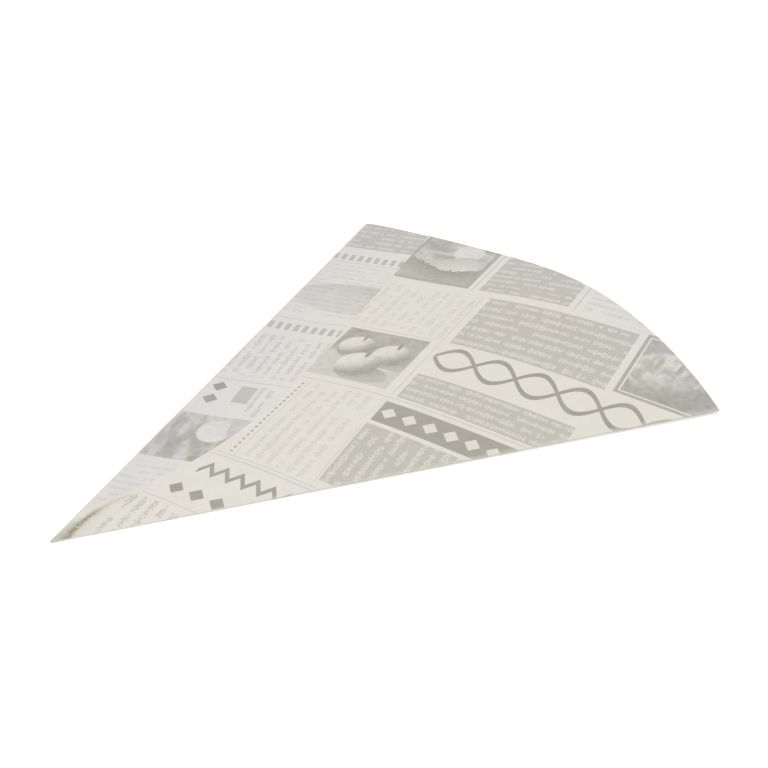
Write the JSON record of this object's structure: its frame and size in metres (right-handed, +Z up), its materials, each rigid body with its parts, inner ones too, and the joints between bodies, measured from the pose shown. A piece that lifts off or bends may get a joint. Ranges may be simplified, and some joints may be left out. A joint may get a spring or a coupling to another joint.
{
  "type": "paper fry cone",
  "caption": "Flat paper cone for fries, folded from one printed sheet with a pasted lap seam, a closed tip and a curved open mouth.",
  "frame": {"origin": "middle of the footprint, on the surface that the cone lies on", "axes": "+Y from the tip to the mouth along the middle line, +Z up, +X towards the right fold, with the lap seam on the -X side"},
  "size_m": [0.2005, 0.2387, 0.0093],
  "materials": {
    "printed_paper": "matt off-white greaseproof paper with grey print outside, plain inside"
  },
  "bodies": {
    "root": {"paper_cone": "printed_paper"}
  },
  "joints": []
}
